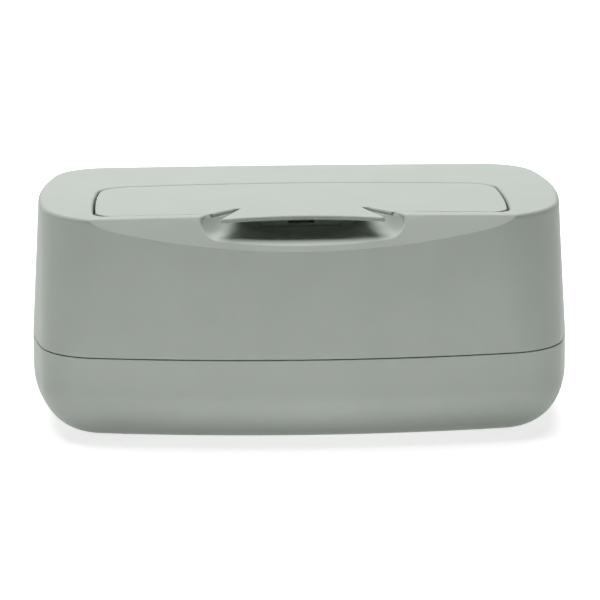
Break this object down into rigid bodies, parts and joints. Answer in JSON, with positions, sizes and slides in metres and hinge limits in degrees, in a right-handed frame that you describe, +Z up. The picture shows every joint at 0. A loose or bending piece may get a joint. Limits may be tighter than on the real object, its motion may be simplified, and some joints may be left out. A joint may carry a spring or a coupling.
{
  "type": "wipes dispenser",
  "caption": "Rounded countertop box with a flush hinged lid whose fishtail tongue lifts from a finger scoop, a lift-off upper housing and a weighted plate inside.",
  "frame": {"origin": "on the table, under the middle of the dispenser (centre of the bounding box's base)", "axes": "+X to the right as seen from the front, +Y towards the back, so the finger scoop is on the -Y side, +Z up"},
  "size_m": [0.24, 0.14, 0.1004],
  "materials": {
    "sage_plastic": "fine satin texture, sage green",
    "inner_plastic": "satin, sage green",
    "plate_plastic": "satin, sage green",
    "silicone": "soft, translucent white",
    "foot_rubber": "soft, dark grey",
    "steel": "ground",
    "screw_steel": "zinc plated"
  },
  "bodies": {
    "tub": {"base_tub": "sage_plastic", "rim_seal": "silicone", "foot_front_left": "foot_rubber", "foot_front_right": "foot_rubber", "foot_rear_left": "foot_rubber", "foot_rear_right": "foot_rubber"},
    "housing": {"upper_housing": "sage_plastic", "inner_frame": "inner_plastic", "catch_clip": "sage_plastic", "frame_screws": "screw_steel", "hinge_pin_left": "steel", "hinge_pin_right": "steel"},
    "lid": {"lid_shell": "sage_plastic", "lid_liner": "inner_plastic", "lid_seal": "silicone"},
    "plate": {"plate_shell": "plate_plastic", "plate_cover": "plate_plastic", "plate_screws": "screw_steel", "weight_front": "steel", "weight_rear": "steel"}
  },
  "joints": [
    {"name": "housing_lift", "type": "slide", "parent": "tub", "child": "housing", "axis": [0, 0, 1], "range_m": [0, 0.12]},
    {"name": "lid_hinge", "type": "hinge", "parent": "housing", "child": "lid", "pos_m": [0, 0.006, 0.09715], "axis": [-1, 0, 0], "range_deg": [0, 95]},
    {"name": "plate_rise", "type": "slide", "parent": "tub", "child": "plate", "axis": [0, 0, 1], "range_m": [0, 0.048]}
  ]
}
